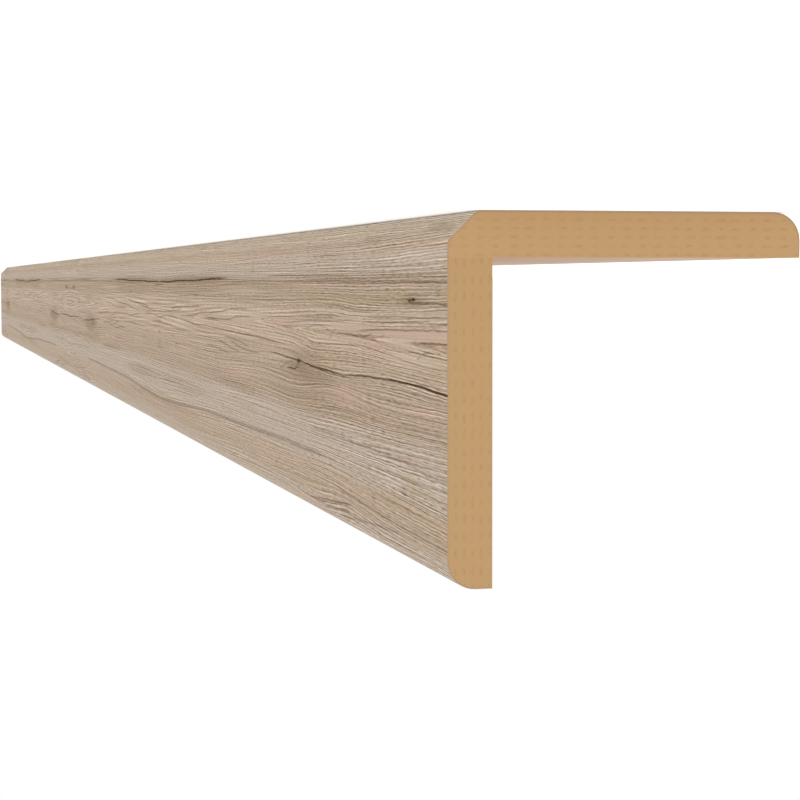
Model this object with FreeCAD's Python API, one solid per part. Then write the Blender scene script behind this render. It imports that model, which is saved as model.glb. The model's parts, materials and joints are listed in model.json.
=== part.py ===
import FreeCAD, Part
import math
import os

# Corner guard moulding: an equal-leg angle of MDF board wrapped in a wood-decor foil.
# Sizes are in millimetres. The row frame has +X along the length, +Z up, and its origin
# under the middle of the box. One leg lies flat with its outer face on the floor, and the
# other stands upright with its outer face towards -Y.

# Driving dimensions
LENGTH = 1000.0
LEG = 42.0  # width of each leg, measured outside, foil included
BOARD = 5.0  # the MDF of each leg
FOIL = 0.2  # the decor foil on the outer side
HEEL_CHAMFER = 3.4  # 45 degree cut along the outer corner, measured along each leg
HEEL_SOFTENING = 1.0  # radius where the chamfer meets each leg
TOE_RADIUS = 3.2  # outer edge of each toe, foil included

WALL = BOARD + FOIL
HEEL_Y = -LEG / 2  # outer face of the upright leg
FLOOR_Z = 0.0  # outer face of the flat leg


def point(across, up):
    """A point of the section, measured from the sharp corner that the heel would have."""
    return FreeCAD.Vector(-LENGTH / 2, HEEL_Y + across, FLOOR_Z + up)


def corner(before, at, after, radius):
    """The ends and the middle of the arc that rounds a corner between two straight runs."""
    back = (before - at).normalize()
    ahead = (after - at).normalize()
    half_angle = back.getAngle(ahead) / 2
    reach = radius / math.tan(half_angle)
    to_centre = (back + ahead).normalize()
    middle = at + to_centre * (radius / math.sin(half_angle) - radius)
    return at + back * reach, middle, at + ahead * reach


def outer_edges(depth):
    """The outer line of the section at this depth under the decor surface, from the upright
    leg's inner toe corner, round the heel, to the flat leg's."""
    chamfer = HEEL_CHAMFER + depth * math.sqrt(2)
    toe = TOE_RADIUS - depth
    soft = HEEL_SOFTENING - depth
    start = point(WALL, LEG - depth)
    end = point(LEG - depth, WALL)
    bends = (
        (point(depth, LEG - depth), toe),
        (point(depth, chamfer - depth), soft),
        (point(chamfer - depth, depth), soft),
        (point(LEG - depth, depth), toe),
    )
    stops = [start] + [place for place, radius in bends] + [end]
    edges = []
    last = start
    for i, (place, radius) in enumerate(bends):
        first, middle, final = corner(stops[i], place, stops[i + 2], radius)
        edges.append(Part.makeLine(last, first))
        edges.append(Part.Arc(first, middle, final).toShape())
        last = final
    edges.append(Part.makeLine(last, end))
    return edges


def bar(edges):
    """The solid bar whose section has these edges."""
    outline = Part.Wire(Part.__sortEdges__(edges))
    return Part.Face(outline).extrude(FreeCAD.Vector(LENGTH, 0, 0))


def mdf_core():
    """The board: both legs in one piece, bare on the inner faces and on both cut ends."""
    inner_corner = point(WALL, WALL)
    back = [
        Part.makeLine(point(LEG - FOIL, WALL), inner_corner),
        Part.makeLine(inner_corner, point(WALL, LEG - FOIL)),
    ]
    return bar(outer_edges(FOIL) + back)


def decor_foil():
    """The foil: round the outer faces, the heel and the toes, up to both inner toe corners."""
    rims = [
        Part.makeLine(point(WALL, LEG - FOIL), point(WALL, LEG)),
        Part.makeLine(point(LEG - FOIL, WALL), point(LEG, WALL)),
    ]
    return bar(outer_edges(0.0) + rims + outer_edges(FOIL))


os.makedirs("parts", exist_ok=True)
for build in (mdf_core, decor_foil):
    solid = build()
    solid.exportStep(f"parts/{build.__name__}.step")
    print(build.__name__, solid.ShapeType, solid.isValid(), f"{solid.Volume / 1000:.1f} cm3")
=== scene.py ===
import json
import math

import bmesh
import bpy
from mathutils import Matrix, Vector


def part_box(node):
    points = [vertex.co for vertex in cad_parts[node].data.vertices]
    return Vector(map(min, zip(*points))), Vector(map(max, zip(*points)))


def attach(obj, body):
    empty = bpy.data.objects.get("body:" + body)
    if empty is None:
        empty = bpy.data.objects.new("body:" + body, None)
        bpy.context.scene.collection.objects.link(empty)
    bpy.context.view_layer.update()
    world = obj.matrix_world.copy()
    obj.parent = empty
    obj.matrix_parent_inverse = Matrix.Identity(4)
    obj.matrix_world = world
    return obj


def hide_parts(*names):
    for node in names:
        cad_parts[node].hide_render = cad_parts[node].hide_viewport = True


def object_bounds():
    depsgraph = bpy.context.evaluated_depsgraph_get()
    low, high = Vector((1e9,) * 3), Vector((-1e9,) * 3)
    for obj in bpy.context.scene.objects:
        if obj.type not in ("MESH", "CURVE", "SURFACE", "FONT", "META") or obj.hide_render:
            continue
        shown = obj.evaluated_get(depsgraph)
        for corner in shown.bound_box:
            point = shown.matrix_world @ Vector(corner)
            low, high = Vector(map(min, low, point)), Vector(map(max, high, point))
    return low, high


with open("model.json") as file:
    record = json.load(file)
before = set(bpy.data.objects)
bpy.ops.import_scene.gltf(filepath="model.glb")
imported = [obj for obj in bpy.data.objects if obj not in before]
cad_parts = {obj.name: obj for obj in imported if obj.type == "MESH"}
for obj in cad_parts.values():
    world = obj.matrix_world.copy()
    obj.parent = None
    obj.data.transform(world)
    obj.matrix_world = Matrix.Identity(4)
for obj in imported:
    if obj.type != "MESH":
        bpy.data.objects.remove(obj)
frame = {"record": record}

bl_info = {
    "name": "Corner guard moulding",
    "version": (1, 0, 0),
    "blender": (4, 5, 0),
    "location": "3D View > Sidebar > Moulding",
    "description": "Dresses one length of wood-decor corner moulding: board, foil and a plain stage",
    "category": "Add Mesh",
}

MM = 0.001
CAD_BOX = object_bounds()
FOIL_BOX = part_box("decor_foil")
BOARD_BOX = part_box("mdf_core")
NEAR_END = FOIL_BOX[0].x
LENGTH = FOIL_BOX[1].x - FOIL_BOX[0].x
LEG = FOIL_BOX[1].z - FOIL_BOX[0].z
FOIL = FOIL_BOX[1].z - BOARD_BOX[1].z
BACKS = {m["name"]: Vector(m["pos_m"]) for m in frame["record"]["mounts"]}
WALL = BACKS["flat_leg_back"].z - FOIL_BOX[0].z


def shade(red, green, blue):
    """A colour picker's 0 to 255 values as the linear colour that the shaders use."""
    parts = [c / 255 for c in (red, green, blue)]
    return [c / 12.92 if c <= 0.04045 else ((c + 0.055) / 1.055) ** 2.4 for c in parts]


def length(name, description, default):
    """A size property in metres."""
    return bpy.props.FloatProperty(name=name, description=description, default=default, unit="LENGTH")


def colour(name, description, *default):
    """A colour property, with its default as a colour picker shows it."""
    return bpy.props.FloatVectorProperty(
        name=name, description=description, default=shade(*default), subtype="COLOR"
    )


class MouldingSizes(bpy.types.PropertyGroup):
    """Sizes of the section and of the print."""

    toe_radius: length("Toe radius", "Outer edge of each toe, foil included", 3.2 * MM)
    heel_chamfer: length("Heel chamfer", "Cut along the heel, measured along each leg", 3.4 * MM)
    heel_softening: length("Heel softening", "Radius where the chamfer meets each leg", 1.0 * MM)
    print_repeat: length("Print repeat", "Decor length after which the print runs back", 250 * MM)
    crack_depth: length("Crack depth", "How deep the printed cracks are pressed", 0.06 * MM)


class MouldingColours(bpy.types.PropertyGroup):
    """Colours of the board, the foil and the stage."""

    board: colour("Board", "Cut end of the board", 201, 163, 114)
    board_blush: colour("Board blush", "Pinker patches on the cut end", 202, 162, 118)
    board_fibre: colour("Board fibre", "Darker fibres on the cut end", 182, 141, 96)
    board_back: colour("Board back", "Sanded back of the board", 206, 179, 155)
    # The heel's two palest tones are painted light: they brighten the chamfer to make up for the shade the floor
    # casts on the heel in this pose.
    foil_heel_painted_light: colour("Foil heel", "Palest decor, under the heel", 240, 223, 204)
    foil_bend_painted_light: colour("Foil bend", "Pale decor over the heel", 213, 196, 173)
    foil_grey: colour("Foil grey", "Greyish decor beside the heel", 188, 171, 153)
    foil_brown: colour("Foil brown", "Brown decor in the tight grain", 177, 157, 134)
    foil_fawn: colour("Foil fawn", "Fawn decor between the paler bands", 181, 160, 138)
    foil_pink: colour("Foil pink", "Pinkish decor in the flame grain", 196, 168, 148)
    foil_beige: colour("Foil beige", "Plain decor", 190, 168, 146)
    foil_olive: colour("Foil olive", "Greenish brown decor between lines", 178, 159, 127)
    foil_pale: colour("Foil pale", "Bleached decor towards the toes", 192, 176, 160)
    foil_edge: colour("Foil edge", "Cut edge of the foil", 193, 156, 118)
    foil_ink: colour("Foil ink", "Brown laid over the decor in lines and cracks", 108, 71, 25)
    floor: colour("Floor", "Floor under the moulding", 245, 245, 245)


# The print's drawing on the upright leg, as (along, round) in mm: how far from the near end,
# and how far round the foil from the middle of the heel. It repeats along the length.
INK_LINES = {
    "heel crack": (0.21, 1.0, ((262.4, 6.91), (236.3, 6.91), (228.3, 6.87), (218.3, 6.69), (190.2, 6.63), (180.1, 6.46), (162.1, 6.29), (145, 6.3))),
    "heel line": (0.14, 0.5, ((156.1, 7.04), (146, 6.94), (120, 6.75), (59.8, 6.76), (-12.3, 6.88))),
    "upper heel line": (0.14, 0.4, ((111.9, 5.9), (97.9, 5.86), (79.9, 5.96), (59.8, 6.02), (43.8, 6.17))),
    "short crack": (0.16, 0.6, ((262.5, 7.51), (248.4, 7.57), (241.4, 7.52))),
    "knot crack": (0.13, 0.85, ((112.3, 18.27), (103.3, 18.31), (90.2, 18.63), (84.2, 18.71), (79.2, 18.95), (72.1, 19.23), (63.1, 19.4), (54, 19.62), (44, 19.75))),
    "knot crack core": (
        0.17,
        1,
        ((82.2, 18.77), (79.2, 18.95), (72.1, 19.23), (63.1, 19.35), (55.1, 19.52)),
    ),
    "knot hook": (0.12, 0.95, ((82.7, 18.82), (84.4, 19.18), (85.2, 19.78), (88.3, 20.15), (93.8, 20.15))),
    "knot rim": (0.2, 0.3, ((100.3, 20.38), (97.3, 20.18), (94.3, 19.58), (91.3, 19.17), (87.2, 19.02))),
    "end crack": (0.15, 0.84, ((58, 19.5), (48, 19.36), (41, 19.1), (34, 18.99), (28, 18.98), (24, 18.92), (19, 18.95), (12, 19.0), (6, 19.2), (0, 19.4), (-12.3, 19.7))),
    "small knot line": (0.12, 0.6, ((20, 9.33), (12, 9.3), (5.6, 9.27), (0, 9.42), (-12, 9.5))),
    "toe wave": (
        0.42,
        0.36,
        (
            (264.5, 33.99), (252.4, 33.99), (226.1, 33.59), (201.8, 32.98), (181.5, 32.48),
            (124.9, 31.98), (90.6, 31.68), (56.3, 31.69),
        ),
    ),
    "toe streak": (0.2, 0.55, ((78.6, 38.48), (64.5, 37.82), (57.4, 37.36), (46.3, 36.86))),
    "toe streak two": (0.18, 0.4, ((74.6, 38.83), (60.4, 38.33), (46.3, 37.87))),
    "toe hook": (0.2, 0.36, ((58.4, 39.09), (43.3, 38.28), (34.2, 37.77), (18, 37.37))),
    "toe line": (0.16, 0.4, ((64.4, 34.93), (50.3, 35.49), (28.1, 36.2), (-12.3, 36.91))),
    "pale line": (0.2, 0.3, ((78.4, 28.14), (40.1, 28.25), (16.9, 28.51), (7.9, 29.06), (-12.3, 29.27))),
    "brown line": (0.15, 0.42, ((262.9, 12.26), (238.7, 12.07), (218.6, 11.92))),
    "first flame": (0.15, 0.6, ((231, 12.8), (221, 12.42), (200, 12.12), (180, 11.72))),
    "second flame": (0.13, 0.55, ((263, 13.9), (250, 13.85), (235, 13.6), (229, 13.38), (221, 13.05), (208, 12.72))),
    "third flame": (0.14, 0.6, ((213, 14.02), (200, 13.87), (191, 13.5), (185, 13.05), (166, 12.7), (155.6, 12.3), (150, 11.9), (121, 11.6))),
    "fourth flame": (0.13, 0.55, ((184, 13.6), (172, 13.8), (162, 13.92), (149, 13.7), (141, 13.1), (120, 12.9))),
    "flame foot": (0.15, 0.62, ((222, 14.8), (211, 15.05), (200, 15.35), (191, 15.62), (180, 15.42), (172, 15.55), (155, 15.8), (137, 15.95), (125, 16.05), (105, 16.36), (88, 16.76))),
    "foot bend": (
        0.16,
        0.45,
        ((264, 14.6), (258, 14.95), (251, 15.15), (245, 14.85), (236, 14.55), (228, 14.6), (215, 14.9)),
    ),
    "under line one": (0.18, 0.42, ((156.5, 17), (145.5, 17.15), (135.5, 17.61), (126.4, 18.06))),
    "under line two": (0.18, 0.45, ((150.5, 17.56), (141.5, 18.16), (133.5, 18.66), (116.4, 18.82))),
    "under line three": (0.18, 0.45, ((163.6, 17.95), (152.6, 18.46), (146.6, 18.96), (136.5, 19.22))),
    "under line four": (0.18, 0.42, ((178.8, 19.21), (165.7, 19.36), (157.7, 19.66), (147.6, 19.87))),
    "lens top": (
        0.13,
        0.42,
        ((117.2, 13.05), (110.1, 12.6), (92.1, 12.3), (80, 12.06), (66, 11.91), (49.9, 11.66)),
    ),
    "lens upper": (0.13, 0.4, ((97.1, 13.1), (88.1, 13.01), (78, 12.61), (59.9, 12.26), (41.9, 11.96))),
    "lens lower": (
        0.13,
        0.36,
        ((97.1, 13.15), (94.1, 14.16), (91.1, 14.51), (78.1, 15.21), (73.1, 15.61), (45.9, 15.27)),
    ),
    "lens under": (
        0.13,
        0.34,
        ((108.2, 14.15), (105.2, 14.7), (90.1, 15.26), (82.1, 15.61), (75.1, 16.27), (58, 15.97)),
    ),
    "lens oval": (
        0.14,
        0.34,
        ((83.1, 13.86), (77, 13.66), (73, 13.16), (66, 13.06), (62, 13.66), (55, 14.06)),
    ),
    "branch": (0.14, 0.6, ((48, 13.42), (40, 13.12), (30, 12.8), (15.2, 12.52), (0, 12.24), (-12.3, 12.05))),
    "end lens": (
        0.13,
        0.62,
        ((14.8, 14.57), (13, 14.2), (11.2, 13.93), (7.3, 13.87), (-0.2, 13.72), (-12.3, 13.48)),
    ),
    "near line": (0.12, 0.5, ((42, 11.5), (31, 11.25), (25, 11.1), (12, 10.98), (0, 10.8), (-12, 10.7))),
    "near line two": (0.12, 0.5, ((45, 12.05), (35, 12.0), (19, 11.72), (9, 11.62), (0, 11.5), (-12, 11.4))),
    "near hook": (0.12, 0.45, ((14, 15.9), (12.4, 15.75), (11.6, 15.3), (9, 15.0), (5, 14.95))),
    "end crack core": (0.18, 1.0, ((33, 18.98), (24, 18.93), (18, 18.95), (12, 19.0), (6, 19.2), (0, 19.4), (-12.3, 19.7))),
    "end twig": (0.16, 0.5, ((60, 14.0), (50, 13.82), (44, 13.95), (38.8, 13.8), (34, 13.38))),
    "lens floor": (0.12, 0.42, ((38, 14.1), (34, 14.45), (25, 14.9), (21, 15.08), (12, 15.25), (-12.3, 15.7))),
    "lens foot": (0.12, 0.4, ((60, 15.45), (54, 15.3), (44, 15.2), (37, 15.3), (31, 15.6), (24, 15.95), (16, 16.4), (-12, 16.8))),
}
# Short dark marks of the print: (along, round, half length, half height, darkness).
FLECKS = (
    (84, 18.79, 2, 0.45, 1),
    (89.2, 19.22, 1.2, 0.2, 0.5),
    (14.9, 8.95, 1.4, 0.3, 1),
    (16.6, 9.05, 1.3, 0.24, 0.9),
    (114.6, 13.05, 1.4, 0.26, 0.45),
    (226.7, 12.82, 3, 0.22, 0.55),
    (228.8, 14.63, 6, 0.18, 0.5),
    (226.1, 18.8, 5, 0.16, 0.45),
    (220.2, 20.36, 4, 0.3, 0.3),
    (247.5, 22.16, 4, 0.16, 0.4),
    (250.8, 18.49, 3.4, 0.5, 0.45),
    (191.5, 9.6, 6.5, 0.18, 0.5),
)
# Soft darker places of the print, laid out in the same way, and paler ones below zero.
SHADINGS = (
    (5, 3.2, 10, 1.2, 0.06),
    (65, 3, 16, 1.1, 0.08),
    (77, 19.8, 25, 3.4, 0.16),
    (78, 23, 38, 5.5, 0.08),
    (74, 11.6, 22, 0.7, 0.14),
    (60, 16.9, 36, 0.9, 0.09),
    (200, 7.6, 75, 3.2, 0.07),
    (84.2, 19.18, 6, 1.3, 0.12),
    (80, 20.5, 7, 1.2, 0.06),
    (15.4, 8.97, 8, 1.2, 0.2),
    (252.4, 20.85, 8, 1.5, 0.12),
    (195.2, 6.43, 75, 1, 0.2),
    (39.8, 6.27, 60, 0.8, 0.12),
    (39.8, 7.47, 70, 0.6, -0.12),
    (9.8, 3.89, 25, 1.4, -0.1),
    (13.8, 10.57, 26, 1.2, -0.12),
    (13.8, 16.28, 22, 1.2, -0.1),
    (140.1, 8.44, 32, 0.9, -0.12),
    (140.3, 12.64, 32, 1.2, -0.1),
    (140.8, 25.51, 36, 1, 0.12),
    (216.7, 29.13, 48, 2.2, 0.12),
    (217, 34.4, 48, 1.2, 0.09),
    (36, 24.52, 34, 0.9, 0.07),
    (17.9, 31.89, 6, 0.6, 0.15),
)


def run(distance, heading, start):
    """Goes straight from a point of the section."""
    return start + distance * Vector((math.cos(heading), math.sin(heading)))


class Foil:
    """The line that the foil follows round the section, from the upright leg's inner toe
    corner to the flat leg's, as straight runs and bends in (Y, Z)."""

    def __init__(self, sizes):
        soft = sizes.heel_softening
        taper = soft * math.tan(math.pi / 8)
        toe = (WALL - sizes.toe_radius, 0, 0), (0, math.pi / 2, sizes.toe_radius)
        leg = (LEG - sizes.toe_radius - sizes.heel_chamfer - taper, 0, 0)
        bend = (0, math.pi / 4, soft)
        cut = (sizes.heel_chamfer * math.sqrt(2) - 2 * taper, 0, 0)
        self.runs = [*toe, leg, bend, cut, bend, leg, *toe[::-1]]
        self.lengths = [straight or turn * radius for straight, turn, radius in self.runs]
        self.start = Vector((BACKS["upright_leg_back"].y, FOIL_BOX[1].z))

    def at(self, distance):
        """The point of the decor surface this far along the line, and the way to its inside."""
        here, heading, left = self.start.copy(), math.pi, distance
        for size, (straight, turn, radius) in zip(self.lengths, self.runs):
            part = min(left, size)
            left -= part
            if straight:
                here = run(part, heading, here)
            else:
                centre = run(radius, heading + math.pi / 2, here)
                heading += part / radius
                here = run(radius, heading - math.pi / 2, centre)
            if left <= 0:
                break
        return here, Vector((math.cos(heading + math.pi / 2), math.sin(heading + math.pi / 2)))


# Threads of the grain, as its steady place round the foil and the way it really goes, in mm.
# Between two threads the growth lines keep their order.
GRAIN_THREADS = (
    (-48, ((0, -48),)),
    (-41, ((0, -41.3), (60, -40.4), (130, -41.4), (190, -40.5), (250, -41))),
    (-33, ((0, -32.5), (50, -34), (110, -32.6), (180, -33.9), (250, -32.8))),
    (-24, ((0, -24.6), (60, -23.2), (120, -24.5), (200, -23.4), (250, -24))),
    (-14, ((0, -14.4), (45, -13), (100, -13.8), (150, -12.8), (210, -14.3), (250, -14))),
    (-6, ((0, -5.4), (70, -6.3), (140, -5.6), (250, -6.2))),
    (0, ((0, -0.4), (30, -0.1), (60, 0.1), (250, 0.1))),
    (2, ((0, 1.1), (30, 1.7), (60, 2.1), (120, 2.1), (250, 2.3))),
    (4, ((0, 3.19), (29.8, 3.78), (59.8, 4.07), (119.9, 4.06), (250, 4.22))),
    (7, ((0, 6.88), (59.8, 6.76), (120, 6.75), (170.1, 7.04), (250, 6.92))),
    (9.5, (
        (0, 9.08), (14.8, 9.37), (44.9, 9.46), (59.9, 9.16), (90, 9.35), (120.1, 9.65), (200.4, 9.93),
        (250, 10.11),
    )),
    (12, (
        (0, 11.17), (44.9, 12.06), (59.9, 11.86), (80, 12.06), (105.1, 12.45), (160.4, 12.44),
        (200.6, 12.73), (250, 12.22),
    )),
    (14, (
        (0, 14.18), (44.9, 13.87), (70, 13.66), (95.1, 13.65), (115.2, 13.15), (150.4, 13.84),
        (225.8, 14.03), (250, 13.42),
    )),
    (15.6, (
        (0, 16.38), (24.9, 15.87), (46.9, 15.17), (60, 15.57), (73.1, 15.96), (80.1, 15.66),
        (92.1, 15.16), (120.3, 15.15), (180.6, 15.14), (250, 15.02),
    )),
    (18, (
        (0, 18.09), (29.9, 17.78), (60.1, 18.08), (68.1, 18.27), (74.1, 18.57), (80.2, 18.17),
        (92.2, 17.67), (160.6, 17.75), (250, 18.14),
    )),
    (19.5, (
        (0, 19.49), (25.9, 18.89), (52, 19.73), (68.1, 19.33), (84.2, 18.82), (103.3, 18.47),
        (160.7, 19.46), (250, 19.34),
    )),
    (22.5, (
        (0, 21.91), (30, 22.2), (60.1, 21.49), (88.3, 22.8), (118.5, 22.09), (160.8, 22.78),
        (250, 22.16),
    )),
    (28, ((0, 27.15), (60.2, 28.05), (120.8, 28.34), (250, 28.12))),
    (32, (
        (0, 32.81), (30.1, 32.3), (60.3, 31.79), (110.8, 31.73), (157.3, 32.18), (181.5, 32.48),
        (222, 33.39), (250, 33.99),
    )),
    (36, (
        (0, 36.76), (28.1, 36.2), (50.3, 35.49), (60.4, 35.23), (90.7, 35.53), (131.1, 36.04),
        (207.1, 37.04), (250, 37.45),
    )),
    (38.5, (
        (0, 38.48), (30.1, 38.28), (38.2, 37.77), (50.3, 37.36), (60.4, 38.07), (72.6, 38.78),
        (90.8, 38.37), (250, 39.07),
    )),
    (41, ((0, 41.13),)),
    (48, ((0, 48.26),)),
)
HEARTS = (14.0, -24.0)  # middle of the flame grain on each leg, as a steady place round the foil
HEART_SOFTNESS = 0.3
FLAME_SLOPE = 0.011  # how fast the flames open along the length
FLAME_REACH = 3.0


def smooth_way(points, place):
    """Height of a smooth curve through the points at this place, held past its ends."""
    if place <= points[0][0]:
        return points[0][1]
    for k, (right, upper) in enumerate(points[1:], 1):
        left, lower = points[k - 1]
        if place <= right:
            before = points[max(k - 2, 0)]
            after = points[min(k + 1, len(points) - 1)]
            rise = (upper - before[1]) / (right - before[0]) * (right - left)
            fall = (after[1] - lower) / (after[0] - left) * (right - left)
            t = (place - left) / (right - left)
            return (
                lower * (1 + 2 * t) * (1 - t) ** 2
                + rise * t * (1 - t) ** 2
                + upper * t * t * (3 - 2 * t)
                + fall * t * t * (t - 1)
            )
    return points[-1][1]


def steady_place(threads, around):
    """The steady place of the grain that passes here, from the threads' heights in this row."""
    for (low, low_height), (high, high_height) in zip(threads, threads[1:]):
        if around <= high_height:
            return low + (high - low) * (around - low_height) / (high_height - low_height)
    return threads[-1][0]


def mirrored(along, repeat):
    """Place in the print's repeat, which runs forwards and then back."""
    return repeat - abs(along % (2 * repeat) - repeat)


def pressed(cracks, tile, around, depth):
    """How deep the printed cracks are pressed in here, from their heights in this row, in metres."""
    deepest = 0.0
    for height, width, strength in cracks:
        side = (around - height) / (1.5 * width)
        if abs(side) < 3:
            deepest = max(deepest, strength * math.exp(-side * side))
    return depth * deepest


def end_fade(points):
    """Length over which a drawn line thins out and fades at its ends, in mm."""
    reach = max(points)[0] - min(points)[0]
    return min(20.0, 0.16 * reach)


def cracks_here(tile):
    """Height, width and strength of each drawn line that passes this place of the repeat."""
    found = []
    for width, darkness, points in INK_LINES.values():
        points = sorted(points)
        ends = min(tile - points[0][0], points[-1][0] - tile) / end_fade(points)
        if ends > 0:
            found.append((smooth_way(points, tile), width, darkness * min(1.0, ends)))
    return found


FINE_ROUND = ((6.2, 7.6), (18.2, 20.6))  # bands of the print with narrow cracks, in mm
FINE_ALONG = ((13, 18), (81, 93))  # knots in the repeat, in mm


def stations(stops, step, fine_bands, fine_step):
    """Places that meet every stop and are closer together inside the fine bands."""
    edges = sorted({*stops, *(e for band in fine_bands for e in band if stops[0] < e < stops[-1])})
    places = [edges[0]]
    for low, high in zip(edges, edges[1:]):
        middle = (low + high) / 2
        fine = any(start < middle < end for start, end in fine_bands)
        count = max(1, math.ceil((high - low) / (fine_step if fine else step)))
        places += [low + (high - low) * k / count for k in range(1, count + 1)]
    return places


def finished_piece(bm, name, replaced, materials):
    """Turns the bmesh into a piece of the moulding, in place of its CAD node."""
    mesh = bpy.data.meshes.new(name)
    bm.to_mesh(mesh)
    bm.free()
    for material in materials:
        mesh.materials.append(material)
    mesh.shade_smooth()
    mesh.set_sharp_from_angle(angle=math.radians(30))
    piece = bpy.data.objects.new(name, mesh)
    bpy.context.scene.collection.objects.link(piece)
    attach(piece, "root")
    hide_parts(replaced)
    return piece


def foil_mesh(sizes):
    """The foil as a closed sheet: a finely divided decor face, a plain inner face and its rims."""
    line = Foil(sizes)
    girth = sum(line.lengths)
    repeat = sizes.print_repeat / MM
    bends = [0.0]
    for size in line.lengths:
        bends.append(bends[-1] + size)
    bend_stops = sorted((girth / 2 - b) / MM for b in bends)
    across = stations(bend_stops, 0.6, FINE_ROUND, 0.13)
    tiles = int(round(LENGTH / sizes.print_repeat))
    knots = [
        tuple(sorted((start if k % 2 == 0 else repeat - start) + k * repeat for start in band))
        for band in FINE_ALONG
        for k in range(tiles)
    ]
    down = stations([k * repeat for k in range(tiles + 1)], 3.1, knots, 0.6)
    bm = bmesh.new()
    sheet = bm.verts.layers.float_vector.new("sheet")

    def wrapped(rows, depth, relief):
        """A grid laid round the section at this depth."""
        made = bmesh.ops.create_grid(bm, x_segments=len(rows) - 1, y_segments=len(across) - 1, size=0.5)
        places = [line.at(girth / 2 - a * MM) for a in across]
        tiles = [mirrored(row, repeat) for row in rows]
        threads = [[(steady, smooth_way(way, t)) for steady, way in GRAIN_THREADS] for t in tiles]
        cracks = [cracks_here(t) if relief else () for t in tiles]
        for vert in made["verts"]:
            row = round((vert.co.x + 0.5) * (len(rows) - 1))
            column = round((vert.co.y + 0.5) * (len(across) - 1))
            around = across[column]
            point, inside = places[column]
            point = point + inside * (depth + pressed(cracks[row], tiles[row], around, relief))
            vert.co = (NEAR_END + rows[row] * MM, point.x, point.y)
            vert[sheet] = (rows[row], around, steady_place(threads[row], around))
        return set(made["verts"])

    decor = wrapped(down, 0.0, sizes.crack_depth)
    hidden = wrapped([down[0], down[-1]], FOIL, 0.0)
    ends = NEAR_END, NEAR_END + LENGTH
    for end in ends:
        rims = [
            edge
            for edge in bm.edges
            if edge.is_boundary and all(abs(v.co.x - end) < 1e-7 for v in edge.verts)
        ]
        bmesh.ops.bridge_loops(bm, edges=rims)
    bmesh.ops.holes_fill(bm, edges=[e for e in bm.edges if e.is_boundary], sides=0)
    bmesh.ops.recalc_face_normals(bm, faces=bm.faces)
    for face in bm.faces:
        face.material_index = 0 if decor.issuperset(face.verts) else 1
    return bm


def board_mesh(sizes):
    """The board: the angle section pushed out to its length, then its heel cut and its toes rounded."""
    bm = bmesh.new()
    low, high, back = BOARD_BOX[0], BOARD_BOX[1], BACKS["upright_leg_back"].y
    top = BACKS["flat_leg_back"].z
    section = (
        (low.y, low.z),
        (high.y, low.z),
        (high.y, top),
        (back, top),
        (back, high.z),
        (low.y, high.z),
    )
    face = bm.faces.new([bm.verts.new((NEAR_END, y, z)) for y, z in section])
    pushed = bmesh.ops.extrude_face_region(bm, geom=[face])
    moved = [v for v in pushed["geom"] if isinstance(v, bmesh.types.BMVert)]
    bmesh.ops.translate(bm, vec=(LENGTH, 0, 0), verts=moved)

    def long_edges(*places):
        """The edges along the length that pass through these points of the section."""
        return [
            edge
            for edge in bm.edges
            if abs(edge.verts[0].co.x - edge.verts[1].co.x) > LENGTH / 2
            and any((edge.verts[0].co.yz - Vector(place)).length < 1e-6 for place in places)
        ]

    def rounded(edges, offset, segments):
        """Bevels the edges. One segment cuts them flat, and more make an arc."""
        bmesh.ops.bevel(
            bm,
            geom=edges,
            offset=offset,
            offset_type="OFFSET",
            segments=segments,
            profile=0.5,
            affect="EDGES",
            material=-1,
        )

    soft = sizes.heel_softening - FOIL
    cut = sizes.heel_chamfer - (2 - math.sqrt(2)) * FOIL
    rounded(long_edges(section[1], section[5]), sizes.toe_radius - FOIL, TOE_SEGMENTS)
    # a bevel is measured square to its edge's faces, so a 45 degree cut reaches as far as its offset
    rounded(long_edges(section[0]), cut, 1)
    heel = (low.y, low.z + cut), (low.y + cut, low.z)
    rounded(long_edges(*heel), soft * math.tan(math.pi / 8), HEEL_SEGMENTS)
    bmesh.ops.recalc_face_normals(bm, faces=bm.faces)
    for face in bm.faces:
        face.material_index = 0 if abs(face.normal.x) > 0.5 else 1
    return bm


TOE_SEGMENTS = 12
HEEL_SEGMENTS = 4


FOIL_REACH = 48.0  # half of the foil's width, round the section, in mm


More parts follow.
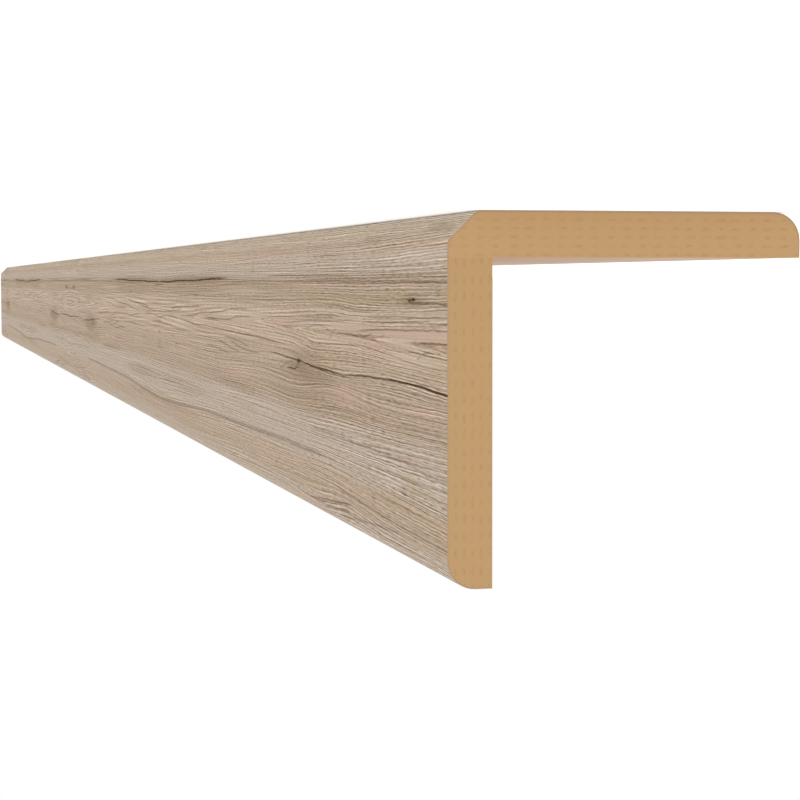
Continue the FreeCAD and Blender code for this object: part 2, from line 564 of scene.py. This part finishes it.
class Nodes:
    """Adds nodes to a tree and feeds their inputs in order, with numbers or other nodes' outputs."""

    def __init__(self, tree):
        self.tree = tree
        tree.nodes.clear()

    def add(self, kind, *feeds, **settings):
        """One node. Its sockets are filled in order, and None leaves a socket as it is."""
        node = self.tree.nodes.new("ShaderNode" + kind)
        for name, value in settings.items():
            setattr(node, name, value)
        for socket, feed in zip(node.inputs, feeds):
            self.feed(socket, feed)
        return node

    def feed(self, socket, feed):
        """Links an output to the socket, or writes a value on it."""
        if isinstance(feed, bpy.types.NodeSocket):
            self.tree.links.new(feed, socket)
        elif feed is not None:
            socket.default_value = feed

    def math(self, operation, *feeds, clamp=False):
        """One step of arithmetic."""
        return self.add("Math", *feeds, operation=operation, use_clamp=clamp).outputs[0]

    def span(self, value, low, high, to_low=0.0, to_high=1.0, kind="SMOOTHSTEP"):
        """A value mapped from one range to another, held at both ends."""
        node = self.add("MapRange", value, low, high, to_low, to_high, interpolation_type=kind)
        return node.outputs[0]

    def choose(self, second_wanted, first, second):
        """The first value, or the second where it is wanted."""
        gap = self.math("SUBTRACT", second, first)
        return self.math("ADD", first, self.math("MULTIPLY", gap, second_wanted))

    def mix(self, factor, first, second, kind="MIX"):
        """Two colours mixed by a factor."""
        node = self.add("Mix", data_type="RGBA", blend_type=kind)
        colours = [s for s in node.inputs if s.type == "RGBA"]
        for socket, feed in zip((node.inputs[0], *colours), (factor, first, second)):
            if isinstance(feed, (tuple, list)) or hasattr(feed, "r"):
                feed = (*feed[:3], 1.0)
            self.feed(socket, feed)
        return next(s for s in node.outputs if s.type == "RGBA")

    def bands(self, value, stops):
        """A colour ramp with the given (place, colour) stops."""
        node = self.add("ValToRGB", value)
        ramp = node.color_ramp
        ramp.interpolation = "EASE"
        while len(ramp.elements) < len(stops):
            ramp.elements.new(1.0)
        for element, (place, tone) in zip(ramp.elements, stops):
            element.position = place
            element.color = (*tone[:3], 1.0)
        return node.outputs[0]

    def round_bands(self, around, stops):
        """A colour for each place round the foil, from stops in mm."""
        reach = self.span(around, -FOIL_REACH, FOIL_REACH, 0.0, 1.0, "LINEAR")
        places = [(place / FOIL_REACH + 1) / 2 for place, _ in stops]
        return self.bands(reach, list(zip(places, [tone for _, tone in stops])))

    def round_values(self, around, stops):
        """A number from 0 to 1 for each place round the foil, from stops in mm."""
        return self.round_bands(around, [(place, (level, level, level)) for place, level in stops])

    def group(self, tree, *feeds):
        """A shader node group with its inputs fed in order."""
        node = self.tree.nodes.new("ShaderNodeGroup")
        node.node_tree = tree
        for socket, feed in zip(node.inputs, feeds):
            self.feed(socket, feed)
        return node.outputs[0]


def node_group(name, inputs, output):
    """An empty group with float inputs, and one float output, ready for its nodes."""
    tree = bpy.data.node_groups.new(name, "ShaderNodeTree")
    for label, default in inputs:
        socket = tree.interface.new_socket(label, in_out="INPUT", socket_type="NodeSocketFloat")
        socket.default_value = default
    tree.interface.new_socket(output, in_out="OUTPUT", socket_type="NodeSocketFloat")
    nodes = Nodes(tree)
    entry = tree.nodes.new("NodeGroupInput")
    leave = tree.nodes.new("NodeGroupOutput")
    return nodes, entry.outputs, leave.inputs[0]


def fibres_group():
    """Noise drawn out along one way, as fibres and grain lines are."""
    inputs = (("Along", 0.0), ("Across", 0.0), ("Length", 10.0), ("Width", 0.5), ("Layer", 0.0), ("Detail", 2.0))
    nodes, entry, leave = node_group("Drawn-out fibres", inputs, "Fibre")
    along, across, size, width, layer, detail = entry[:6]
    place = nodes.add(
        "CombineXYZ", nodes.math("DIVIDE", along, size), nodes.math("DIVIDE", across, width), layer
    ).outputs[0]
    noise = nodes.add("TexNoise", place, None, 1.0, detail, 0.55)
    nodes.tree.links.new(noise.outputs[0], leave)
    return nodes.tree


def ink_line_group():
    """A dark line of the print: full on its path, and gone a line's width away and past its ends."""
    inputs = (
        ("Tile", 0.0), ("Around", 0.0), ("Path", 0.0), ("From", 0.0), ("To", 100.0),
        ("Fade", 8.0), ("Width", 0.1), ("Darkness", 1.0),
    )
    nodes, entry, leave = node_group("Printed line", inputs, "Ink")
    tile, around, path, start, end, fade, width, darkness = entry[:8]
    left = nodes.math("MINIMUM", nodes.math("SUBTRACT", tile, start), nodes.math("SUBTRACT", end, tile))
    ends = nodes.span(nodes.math("DIVIDE", left, fade), 0.0, 1.0)
    width = nodes.math("MULTIPLY", width, nodes.span(ends, 0.0, 1.0, 0.4, 1.0, "LINEAR"))
    off = nodes.math("DIVIDE", nodes.math("ABSOLUTE", nodes.math("SUBTRACT", around, path)), width)
    core = nodes.span(off, 1.25, 0.35)
    ink = nodes.math("MULTIPLY", nodes.math("MULTIPLY", core, ends), darkness)
    nodes.tree.links.new(ink, leave)
    return nodes.tree


def blot_group():
    """An oval spot, full in its middle and soft towards its edge."""
    inputs = (
        ("Tile", 0.0), ("Around", 0.0), ("Middle along", 0.0), ("Middle around", 0.0),
        ("Half length", 5.0), ("Half height", 1.0), ("Darkness", 1.0),
    )
    nodes, entry, leave = node_group("Printed spot", inputs, "Ink")
    tile, around, along, middle, half_length, half_height, darkness = entry[:7]
    x = nodes.math("DIVIDE", nodes.math("SUBTRACT", tile, along), half_length)
    y = nodes.math("DIVIDE", nodes.math("SUBTRACT", around, middle), half_height)
    off = nodes.math("ADD", nodes.math("MULTIPLY", x, x), nodes.math("MULTIPLY", y, y))
    ink = nodes.math("MULTIPLY", nodes.span(off, 1.0, 0.0), darkness)
    nodes.tree.links.new(ink, leave)
    return nodes.tree


def new_material(name):
    """A material with an empty tree, its node helper and its Principled shader."""
    material = bpy.data.materials.new(name)
    material.use_nodes = True
    nodes = Nodes(material.node_tree)
    shader = nodes.add("BsdfPrincipled")
    output = nodes.add("OutputMaterial")
    material.node_tree.links.new(shader.outputs[0], output.inputs[0])
    return material, nodes, shader


def oak_decor(colours, sizes, fibres, line, spot):
    """The printed oak decor: toned bands, growth lines, pores, knots and cracks on a matt foil."""
    material, nodes, shader = new_material("oak_decor")
    sheet = nodes.add("SeparateXYZ", nodes.add("Attribute", attribute_name="sheet").outputs["Vector"])
    along, around, steady = sheet.outputs
    tile = nodes.math("PINGPONG", along, sizes.print_repeat / MM)
    layer = nodes.math("MULTIPLY", around, 0.06)

    sway = nodes.group(fibres, along, around, 90.0, 4.0, 3.0, 1.0)
    quiver = nodes.group(fibres, along, around, 6.0, 1.1, 5.0, 2.0)
    steady = nodes.math("ADD", steady, nodes.span(sway, 0.25, 0.75, -0.22, 0.22, "LINEAR"))
    steady = nodes.math("ADD", steady, nodes.span(quiver, 0.25, 0.75, -0.07, 0.07, "LINEAR"))
    grain, lines = flame_grain(nodes, tile, around, steady)

    place = nodes.math("ADD", around, nodes.span(sway, 0.3, 0.7, -0.35, 0.35, "LINEAR"))
    tone = nodes.round_bands(place, band_tones(colours))
    ragged = nodes.group(fibres, along, around, 7.0, 0.7, 15.0, 2.0)
    for marks, other in ((PINK_PATCHES, colours.foil_pink), (OLIVE_PATCHES, colours.foil_olive)):
        patch = 0.0
        for mark in marks:
            patch = nodes.math("MAXIMUM", patch, nodes.group(spot, tile, around, *mark))
        patch = nodes.math("MULTIPLY", patch, nodes.span(ragged, 0.3, 0.55, 0.25, 1.0))
        tone = nodes.mix(patch, tone, other)
    patch = nodes.group(fibres, along, around, 22.0, 2.1, 13.0, 3.0)
    tone = nodes.mix(nodes.span(patch, 0.55, 0.75, 0.0, 0.5), tone, colours.foil_pink)
    tone = nodes.mix(nodes.span(patch, 0.46, 0.28, 0.0, 0.5), tone, colours.foil_olive)

    strength = nodes.round_values(around, LINE_STRENGTH)
    drift = nodes.span(nodes.group(fibres, along, around, 60.0, 1.6, 61.0, 1.0), 0.2, 0.8, -0.7, 0.7, "LINEAR")
    wave = nodes.math("SINE", nodes.math("MULTIPLY", nodes.math("ADD", lines, drift), math.tau))
    bold = nodes.group(fibres, along, grain, 50.0, 0.42, 31.0, 1.0)
    force = nodes.math("MULTIPLY", strength, nodes.span(bold, 0.3, 0.65, 0.5, 1.0))
    dark = nodes.span(wave, 0.15, -0.95)
    pale = nodes.span(wave, 0.1, 0.9)
    pale = nodes.math("MULTIPLY", pale, nodes.round_values(around, SLIVER_STRENGTH))
    profile = nodes.math("SUBTRACT", nodes.math("MULTIPLY", pale, 0.18), nodes.math("MULTIPLY", dark, 0.22))
    profile = nodes.math("ADD", profile, 0.05)

    growth = nodes.group(fibres, along, grain, 120.0, 0.7, layer, 1.0)
    ridge = nodes.span(nodes.math("ABSOLUTE", nodes.math("SUBTRACT", growth, 0.5)), 0.01, 0.045, 1.0, 0.0)
    ridge = nodes.math("MULTIPLY", nodes.math("MULTIPLY", ridge, strength), nodes.span(bold, 0.62, 0.42))

    thin = nodes.group(fibres, along, grain, 40.0, 0.12, layer, 1.0)
    beside = nodes.group(fibres, along, nodes.math("ADD", grain, 0.17), 40.0, 0.12, layer, 1.0)
    fine = nodes.math("ADD", nodes.math("SUBTRACT", thin, beside), 0.5)
    ticks = nodes.group(fibres, along, steady, 2.6, 0.13, 41.0, 1.0)
    pores = nodes.span(ticks, 0.42, 0.28)
    strands = nodes.group(fibres, along, grain, 18.0, 0.14, 43.0, 1.0)
    slivers = nodes.math("MULTIPLY", nodes.span(strands, 0.52, 0.7), nodes.round_values(around, SLIVER_STRENGTH))

    value = nodes.span(fine, 0.15, 0.85, 0.48, 1.42, "LINEAR")
    value = nodes.math("ADD", value, nodes.span(ticks, 0.3, 0.7, -0.18, 0.18, "LINEAR"))
    value = nodes.math("ADD", value, nodes.math("MULTIPLY", slivers, 0.2))
    value = nodes.math("SUBTRACT", value, nodes.math("MULTIPLY", pores, 0.16))
    value = nodes.math("ADD", value, nodes.math("MULTIPLY", profile, force))
    value = nodes.math("SUBTRACT", value, nodes.math("MULTIPLY", ridge, 0.07))
    calm = nodes.span(tile, 25.0, 110.0, 0.0, 0.25)
    for mark in CALM_PATCHES:
        calm = nodes.math("MAXIMUM", calm, nodes.group(spot, tile, around, *mark))
    calm = nodes.math("MULTIPLY", nodes.math("SUBTRACT", value, 1.02), calm)
    value = nodes.math("SUBTRACT", value, calm)
    # lightness round the foil, raised over the heel chamfer as painted light
    value = nodes.math("ADD", value, nodes.math("SUBTRACT", nodes.round_values(around, LIGHTNESS), 0.5))
    for mark in SHADINGS:
        value = nodes.math("SUBTRACT", value, nodes.group(spot, tile, around, *mark))
    tint = nodes.add(
        "CombineColor", value, nodes.math("POWER", value, 1.2), nodes.math("POWER", value, 1.5)
    ).outputs[0]
    tone = nodes.mix(1.0, tone, tint, "MULTIPLY")

    shiver = nodes.group(fibres, along, around, 4.0, 3.0, 51.0, 4.0)
    shaken = nodes.math("ADD", around, nodes.span(shiver, 0.25, 0.75, -0.08, 0.08, "LINEAR"))
    ink = 0.0
    for width, darkness, points in INK_LINES.values():
        path = drawn_path(nodes, tile, points)
        reach = min(points)[0], max(points)[0], end_fade(points)
        mark = nodes.group(line, tile, shaken, path, *reach, width, darkness)
        ink = nodes.math("MAXIMUM", ink, mark)
    ink = nodes.math("MULTIPLY", ink, nodes.span(ragged, 0.3, 0.5, 0.7, 1.0))
    for mark in FLECKS:
        ink = nodes.math("MAXIMUM", ink, nodes.group(spot, tile, shaken, *mark))
    tone = nodes.mix(ink, tone, colours.foil_ink, "MULTIPLY")

    nodes.feed(shader.inputs["Base Color"], tone)
    nodes.feed(shader.inputs["Roughness"], nodes.span(fine, 0.2, 0.8, 0.68, 0.58, "LINEAR"))
    bump = nodes.add("Bump", 0.5, 0.02 * MM)
    nodes.feed(bump.inputs["Height"], fine)
    nodes.feed(shader.inputs["Normal"], bump.outputs[0])
    shader.inputs["Specular IOR Level"].default_value = 0.05
    return material


def flame_grain(nodes, tile, around, steady):
    """Folds the grain over the middle of each leg's flame, so that its lines close in long tips.
    Gives the distance from that middle, in mm and in growth lines."""
    counts = line_counts()
    heart = nodes.math("LESS_THAN", around, -6.0)
    side = nodes.math("SUBTRACT", steady, nodes.choose(heart, *HEARTS))
    square = nodes.math("MULTIPLY", side, side)
    near = nodes.math("EXPONENT", nodes.math("MULTIPLY", square, -1.0 / FLAME_REACH**2))
    opening = nodes.math("MULTIPLY", nodes.math("MULTIPLY", tile, FLAME_SLOPE), near)
    fold = nodes.math("SQRT", nodes.math("ADD", square, HEART_SOFTNESS**2))

    count = drawn_path(nodes, steady, counts, LINE_PITCHES[0][0], LINE_PITCHES[-1][0], counts[-1][1])
    middles = [next(lines for place, lines in counts if place == heart) for heart in HEARTS]
    lines = nodes.math("SUBTRACT", count, nodes.choose(heart, *middles))
    squared = nodes.math("ADD", nodes.math("MULTIPLY", lines, lines), (HEART_SOFTNESS / HEART_PITCH) ** 2)
    lines = nodes.math("ADD", nodes.math("SQRT", squared), nodes.math("DIVIDE", opening, HEART_PITCH))
    return nodes.math("ADD", fold, opening), lines


def line_counts():
    """How many growth lines lie between the foil's edge and each steady place."""
    counts = [(LINE_PITCHES[0][0], 0.0)]
    for (start, low), (end, high) in zip(LINE_PITCHES, LINE_PITCHES[1:]):
        counts.append((end, counts[-1][1] + 2 * (end - start) / (low + high)))
    return counts


def drawn_path(nodes, value, points, low=-12.0, high=262.0, top=FOIL_REACH):
    """A smooth curve through the points over the value, which runs from low to high."""
    node = nodes.add("FloatCurve", 1.0, nodes.span(value, low, high, 0.0, 1.0, "LINEAR"))
    curve = node.mapping.curves[0]
    places = [((x - low) / (high - low), y / top) for x, y in sorted(points)]
    places = [(0.0, places[0][1]), *[p for p in places if 0.0 < p[0] < 1.0], (1.0, places[-1][1])]
    while len(curve.points) < len(places):
        curve.points.new(0.5, 0.5)
    for point, place in zip(curve.points, places):
        point.location = place
        point.handle_type = "AUTO_CLAMPED"
    node.mapping.update()
    return nodes.math("MULTIPLY", node.outputs[0], top)


def band_tones(colours):
    """The decor's tones round the foil, in mm from the middle of the heel."""
    c = colours
    return (
        (-44, c.foil_pale), (-36, c.foil_beige), (-28, c.foil_pink), (-22, c.foil_brown),
        # The two palest stops across the heel chamfer are painted light: a paler band in place of the light the
        # floor shades off there.
        (-14, c.foil_pale), (-6, c.foil_beige), (-3.4, c.foil_heel_painted_light), (-2.1, c.foil_heel_painted_light), (-1.4, c.foil_bend_painted_light), (0, c.foil_bend_painted_light),
        (2.6, c.foil_beige),
        (3.6, c.foil_grey), (4.5, c.foil_grey), (7.5, c.foil_brown), (9.8, c.foil_brown), (12.2, c.foil_beige),
        (17.0, c.foil_beige), (20.3, c.foil_fawn), (24.0, c.foil_fawn), (28, c.foil_pale),
        (30, c.foil_pale), (32.5, c.foil_grey), (34, c.foil_beige), (36.3, c.foil_fawn), (39, c.foil_grey),
    )


# Spacing of the printed growth lines at each steady place round the foil, in mm.
LINE_PITCHES = (
    (-48, 0.5), (-38, 0.46), (-32, 0.6), (-24, 0.45), (-16, 0.48), (-8, 0.4), (0, 0.36), (5, 0.36),
    (9, 0.4), (14, 0.41), (17, 0.47), (20, 0.49), (24, 0.49), (29, 0.58), (32, 0.47), (36, 0.44),
    (41, 0.54), (48, 0.6),
)
HEART_PITCH = 0.45
# Patches of another hue in the decor: (along, round, half length, half height, strength).
PINK_PATCHES = (
    (11.8, 13.07, 26, 0.9, 0.8),
    (29.9, 15.67, 16, 1.6, 0.6),
    (51.9, 12.86, 16, 0.9, 0.7),
    (95.1, 13.55, 16, 1.4, 0.8),
    (118.2, 14.45, 14, 0.8, 0.7),
    (74.1, 16.07, 20, 1.2, 0.5),
    (9.8, 21.8, 12, 0.9, 0.7),
    (27, 24.12, 9, 0.9, 0.65),
    (52.1, 22.7, 17, 2.2, 0.7),
    (138.7, 22.69, 18, 1.8, 0.6),
    (148.5, 16.45, 9, 0.8, 0.6),
    (113, 36.04, 10, 0.9, 0.5),
    (180.6, 15.44, 18, 1.6, 0.6),
    (207.1, 21.27, 14, 1.4, 0.5),
    (232.6, 10.32, 20, 1.6, 0.5),
    (247.1, 16.43, 10, 2.4, 0.5),
)
OLIVE_PATCHES = (
    (8, 0.3, 10, 1, 0.6),
    (40, 0.9, 9, 1, 0.5),
    (5.8, 15.48, 12, 1, 0.5),
    (29.8, 8.87, 26, 1.2, 0.4),
    (69.9, 9.16, 24, 1.2, 0.4),
    (22, 33.61, 22, 1.2, 0.4),
    (62.1, 18.48, 14, 1, 0.4),
)
# Places where the grain of the decor is faint, laid out in the same way.
CALM_PATCHES = (
    (4, 3.4, 22, 1.3, 0.4),
    (12, 13.1, 36, 0.9, 0.85),
    (50, 12.8, 16, 0.8, 0.6),
    (22, 14.5, 14, 0.7, 0.6),
    (16, 16, 20, 1.1, 0.6),
    (138, 13.9, 22, 1, 0.7),
    (222, 15.4, 34, 1, 0.6),
    (172, 18.4, 20, 1, 0.5),
    (236, 17.2, 24, 0.9, 0.4),
    (85, 20.7, 24, 2.4, 0.55),
    (62, 22.4, 26, 2.2, 0.4),
)
LINE_STRENGTH = (
    (-44, 0.6), (-30, 0.9), (-20, 1.0), (-12, 0.5), (-4, 0.8), (0, 1.5), (2.2, 1.3), (4, 0.7), (6, 0.9), (10, 1.0),
    (13.2, 0.3), (16, 0.9), (20, 1.0), (23, 0.5), (28, 0.4), (32, 0.7), (36, 0.8), (39, 1.0),
)
# How light the decor is at each place round the foil: 0.5 leaves its tone as it is. The raised values over the heel
# chamfer, from -1.5 to 2.3 mm, are partly the print's own tone and partly painted light that offsets the floor's
# shade there.
LIGHTNESS = (
    (-44, 0.5), (-2.4, 0.5), (-1.5, 0.62), (-0.4, 0.57), (1.1, 0.5), (2.3, 0.59), (3, 0.57), (3.7, 0.54),
    (5.5, 0.53), (7.4, 0.49), (8.6, 0.55), (9.6, 0.53), (10.5, 0.57), (11.6, 0.61), (12.6, 0.58),
    (13.6, 0.51), (15.4, 0.6), (16.6, 0.52), (17.6, 0.48), (18.6, 0.54),
    (20, 0.51), (22, 0.52), (24.5, 0.46), (27, 0.49), (28.6, 0.45), (30.4, 0.47), (31.7, 0.5),
    (33.5, 0.47), (35.6, 0.51), (37.4, 0.54), (38.6, 0.46), (41, 0.5),
)
SLIVER_STRENGTH = (
    (-40, 0.8), (-20, 0.4), (-3, 1.1), (1.5, 1.2), (5, 0.7), (8, 0.15), (14, 0.3), (20, 0.35), (25, 0.6),
    (31, 0.75), (35, 0.5), (39, 0.8),
)


def cut_board(colours, fibres):
    """The sawn end: tan board with rows of short darker fibres that follow each leg."""
    material, nodes, shader = new_material("cut_board")
    place = nodes.add("SeparateXYZ", nodes.add("TexCoord").outputs["Object"])
    y = nodes.math("DIVIDE", nodes.math("SUBTRACT", place.outputs[1], FOIL_BOX[0].y), MM)
    z = nodes.math("DIVIDE", nodes.math("SUBTRACT", place.outputs[2], FOIL_BOX[0].z), MM)
    upright = nodes.math("GREATER_THAN", z, WALL / MM)
    along = nodes.choose(upright, y, z)
    across = nodes.choose(upright, z, y)

    wander = nodes.group(fibres, along, across, 1.3, 0.6, 1.0, 1.0)
    row = nodes.math("ADD", nodes.math("DIVIDE", across, FIBRE_ROWS), nodes.span(wander, 0.3, 0.7, -0.05, 0.05))
    step = nodes.math("ADD", nodes.math("DIVIDE", along, FIBRE_PITCH), nodes.span(wander, 0.3, 0.7, 0.15, -0.15))
    row = nodes.math("ABSOLUTE", nodes.math("SUBTRACT", nodes.math("FRACT", row), 0.5))
    step = nodes.math("ABSOLUTE", nodes.math("SUBTRACT", nodes.math("FRACT", step), 0.5))
    dash = nodes.math("MULTIPLY", nodes.span(row, 0.22, 0.44), nodes.span(step, 0.12, 0.42))
    faint = nodes.span(nodes.group(fibres, along, across, 1.6, 0.9, 4.0, 2.0), 0.35, 0.6, 0.25, 1.0)
    torn = nodes.span(nodes.group(fibres, along, across, 0.35, 0.14, 9.0, 2.0), 0.35, 0.6, 0.3, 1.0)
    dash = nodes.math("MULTIPLY", nodes.math("MULTIPLY", dash, faint), torn)

    cloud = nodes.group(fibres, y, z, 2.2, 1.3, 7.0, 3.0)
    dust = nodes.group(fibres, y, z, 0.22, 0.22, 17.0, 2.0)
    tone = nodes.mix(nodes.span(cloud, 0.35, 0.65, 0.0, 0.5), colours.board, colours.board_blush)
    tone = nodes.mix(nodes.math("MULTIPLY", dash, 0.55), tone, colours.board_fibre)
    value = nodes.span(dust, 0.25, 0.75, 0.975, 1.025, "LINEAR")
    value = nodes.math("ADD", value, nodes.choose(upright, 0.045, 0.0))
    tone = nodes.mix(1.0, tone, nodes.add("CombineColor", value, value, value).outputs[0], "MULTIPLY")
    nodes.feed(shader.inputs["Base Color"], tone)
    nodes.feed(shader.inputs["Roughness"], nodes.span(dust, 0.3, 0.7, 0.82, 0.92, "LINEAR"))
    bump = nodes.add("Bump", 0.4, 0.03 * MM)
    nodes.feed(bump.inputs["Height"], nodes.math("SUBTRACT", dust, nodes.math("MULTIPLY", dash, 0.5)))
    nodes.feed(shader.inputs["Normal"], bump.outputs[0])
    shader.inputs["Specular IOR Level"].default_value = 0.2
    return material


FIBRE_ROWS = 0.98  # spacing of the fibre rows through the board, in mm
FIBRE_PITCH = 1.9  # spacing of the fibres in a row, in mm


def board_back(colours, fibres):
    """The sanded back: pale, even board with a faint felt of fibres."""
    material, nodes, shader = new_material("board_back")
    place = nodes.add("SeparateXYZ", nodes.add("TexCoord").outputs["Object"])
    x, y, z = (nodes.math("DIVIDE", axis, MM) for axis in place.outputs)
    felt = nodes.group(fibres, x, nodes.math("ADD", y, z), 0.9, 0.5, 3.0, 4.0)
    cloud = nodes.group(fibres, x, nodes.math("ADD", y, z), 45.0, 9.0, 5.0, 2.0)
    value = nodes.math("ADD", nodes.span(felt, 0.25, 0.75, -0.02, 0.02, "LINEAR"), nodes.span(cloud, 0.3, 0.7, 0.97, 1.03, "LINEAR"))
    tone = nodes.mix(1.0, colours.board_back, nodes.add("CombineColor", value, value, value).outputs[0], "MULTIPLY")
    nodes.feed(shader.inputs["Base Color"], tone)
    nodes.feed(shader.inputs["Roughness"], nodes.span(felt, 0.3, 0.7, 0.72, 0.84, "LINEAR"))
    bump = nodes.add("Bump", 0.3, 0.02 * MM)
    nodes.feed(bump.inputs["Height"], felt)
    nodes.feed(shader.inputs["Normal"], bump.outputs[0])
    shader.inputs["Specular IOR Level"].default_value = 0.25
    return material


def foil_edge(colours, fibres):
    """The foil's cut edge and its glued side."""
    material, nodes, shader = new_material("foil_edge")
    place = nodes.add("SeparateXYZ", nodes.add("TexCoord").outputs["Object"])
    x, y, z = (nodes.math("DIVIDE", axis, MM) for axis in place.outputs)
    speck = nodes.group(fibres, nodes.math("ADD", x, y), z, 1.2, 1.2, 9.0, 3.0)
    tone = nodes.mix(nodes.span(speck, 0.3, 0.7, 0.0, 0.5), colours.foil_edge, colours.foil_brown)
    nodes.feed(shader.inputs["Base Color"], tone)
    nodes.feed(shader.inputs["Roughness"], nodes.span(speck, 0.3, 0.7, 0.6, 0.72, "LINEAR"))
    shader.inputs["Specular IOR Level"].default_value = 0.2
    return material


def shared_group(name, maker):
    """The node group of this name, made once."""
    return bpy.data.node_groups.get(name) or maker()


class MOULDING_OT_board(bpy.types.Operator):
    """Build the board and give it its cut and sanded faces"""

    bl_idname = "moulding.board"
    bl_label = "Board"

    def execute(self, context):
        scene = context.scene
        fibres = shared_group("Drawn-out fibres", fibres_group)
        finishes = cut_board(scene.moulding_colours, fibres), board_back(scene.moulding_colours, fibres)
        finished_piece(board_mesh(scene.moulding_sizes), "board", "mdf_core", finishes)
        return {"FINISHED"}


class MOULDING_OT_foil(bpy.types.Operator):
    """Wrap the decor foil round the board and print it"""

    bl_idname = "moulding.foil"
    bl_label = "Decor foil"

    def execute(self, context):
        scene = context.scene
        fibres = shared_group("Drawn-out fibres", fibres_group)
        line = shared_group("Printed line", ink_line_group)
        spot = shared_group("Printed spot", blot_group)
        decor = oak_decor(scene.moulding_colours, scene.moulding_sizes, fibres, line, spot)
        finishes = decor, foil_edge(scene.moulding_colours, fibres)
        finished_piece(foil_mesh(scene.moulding_sizes), "foil", "decor_foil", finishes)
        return {"FINISHED"}


EYE = Vector((-709.3, -79.14, 7.616)) * MM
YAW, PITCH, ROLL = 0.247, 0.06087, 0.00193
LENS, SENSOR = 88.85, 36.0


def seen(nodes):
    """1 for the rays that show the surround: from the camera, in a reflection or through glass."""
    rays = nodes.add("LightPath").outputs
    mirrored_or_clear = nodes.math("ADD", rays["Is Glossy Ray"], rays["Is Transmission Ray"])
    return nodes.math("ADD", rays["Is Camera Ray"], mirrored_or_clear, clamp=True)


def stage_floor(colours):
    """A wide pale floor that shows white to the camera and keeps the soft shadow on it."""
    material, nodes, shader = new_material("floor_paint")
    grit = nodes.add("TexNoise", nodes.add("TexCoord").outputs["Object"], None, 900.0, 2.0)
    nodes.feed(shader.inputs["Roughness"], nodes.span(grit.outputs[0], 0.3, 0.7, 0.85, 0.95, "LINEAR"))
    shader.inputs["Base Color"].default_value = (*colours.floor, 1.0)
    shader.inputs["Specular IOR Level"].default_value = 0.1
    shader.inputs["Emission Color"].default_value = (1.0, 1.0, 1.0, 1.0)
    nodes.feed(shader.inputs["Emission Strength"], nodes.math("MULTIPLY", seen(nodes), 0.45))
    bm = bmesh.new()
    bmesh.ops.create_grid(bm, x_segments=1, y_segments=1, size=6.0)
    bmesh.ops.translate(bm, vec=(0, 0, CAD_BOX[0].z - 0.05 * MM), verts=bm.verts)
    mesh = bpy.data.meshes.new("stage_floor")
    bm.to_mesh(mesh)
    bm.free()
    mesh.materials.append(material)
    floor = bpy.data.objects.new("stage_floor", mesh)
    bpy.context.scene.collection.objects.link(floor)


def stage_light():
    """A plain bright surround, white behind everything, and one large soft lamp overhead."""
    world = bpy.data.worlds.new("surround")
    bpy.context.scene.world = world
    world.use_nodes = True
    nodes = Nodes(world.node_tree)
    strength = nodes.span(seen(nodes), 0.0, 1.0, SURROUND, 1.0, "LINEAR")
    sky = nodes.add("Background", (1.0, 1.0, 1.0, 1.0), strength)
    output = nodes.add("OutputWorld")
    world.node_tree.links.new(sky.outputs[0], output.inputs[0])
    lamp = bpy.data.lights.new("overhead", "AREA")
    lamp.shape = "RECTANGLE"
    lamp.size, lamp.size_y = 2.4, 1.6
    lamp.energy = LAMP
    holder = bpy.data.objects.new("overhead", lamp)
    holder.location = (-0.6, -1.4, 1.6)
    holder.rotation_mode = "QUATERNION"
    holder.rotation_quaternion = (Vector((0, 0, 0)) - holder.location).to_track_quat("-Z", "Y")
    bpy.context.scene.collection.objects.link(holder)


SURROUND = 0.9
LAMP = 6.0


def stage_camera():
    """The camera just above the floor, turned over so that the flat leg is at the picture's top."""
    data = bpy.data.cameras.new("camera")
    data.sensor_width = SENSOR
    data.lens = LENS
    data.clip_start, data.clip_end = 0.01, 20.0
    right = Vector((-math.sin(YAW), math.cos(YAW), 0.0))
    ahead = Vector((math.cos(PITCH) * math.cos(YAW), math.cos(PITCH) * math.sin(YAW), math.sin(PITCH)))
    up = right.cross(ahead)
    right, up = (
        math.cos(ROLL) * right - math.sin(ROLL) * up,
        math.sin(ROLL) * right + math.cos(ROLL) * up,
    )
    camera = bpy.data.objects.new("camera", data)
    camera.matrix_world = Matrix.Translation(EYE) @ Matrix((right, up, -ahead)).transposed().to_4x4()
    bpy.context.scene.collection.objects.link(camera)
    bpy.context.scene.camera = camera


class MOULDING_OT_stage(bpy.types.Operator):
    """Add the floor, the light and the camera"""

    bl_idname = "moulding.stage"
    bl_label = "Stage"

    def execute(self, context):
        stage_floor(context.scene.moulding_colours)
        stage_light()
        stage_camera()
        context.scene.view_settings.view_transform = "Standard"
        return {"FINISHED"}


class MOULDING_PT_panel(bpy.types.Panel):
    """Lists the moulding's pieces and its stage"""

    bl_idname = "MOULDING_PT_panel"
    bl_label = "Corner guard moulding"
    bl_space_type = "VIEW_3D"
    bl_region_type = "UI"
    bl_category = "Moulding"

    def draw(self, context):
        for group in (context.scene.moulding_sizes, context.scene.moulding_colours):
            for name in group.__annotations__:
                self.layout.prop(group, name)
        for operator in (MOULDING_OT_board, MOULDING_OT_foil, MOULDING_OT_stage):
            self.layout.operator(operator.bl_idname)


CLASSES = (
    MouldingSizes,
    MouldingColours,
    MOULDING_OT_board,
    MOULDING_OT_foil,
    MOULDING_OT_stage,
    MOULDING_PT_panel,
)


def register():
    for cls in CLASSES:
        bpy.utils.register_class(cls)
    bpy.types.Scene.moulding_sizes = bpy.props.PointerProperty(type=MouldingSizes)
    bpy.types.Scene.moulding_colours = bpy.props.PointerProperty(type=MouldingColours)


def unregister():
    del bpy.types.Scene.moulding_colours
    del bpy.types.Scene.moulding_sizes
    for cls in reversed(CLASSES):
        bpy.utils.unregister_class(cls)


def main():
    register()
    bpy.ops.moulding.board()
    bpy.ops.moulding.foil()
    bpy.ops.moulding.stage()


if __name__ == "__main__":
    main()
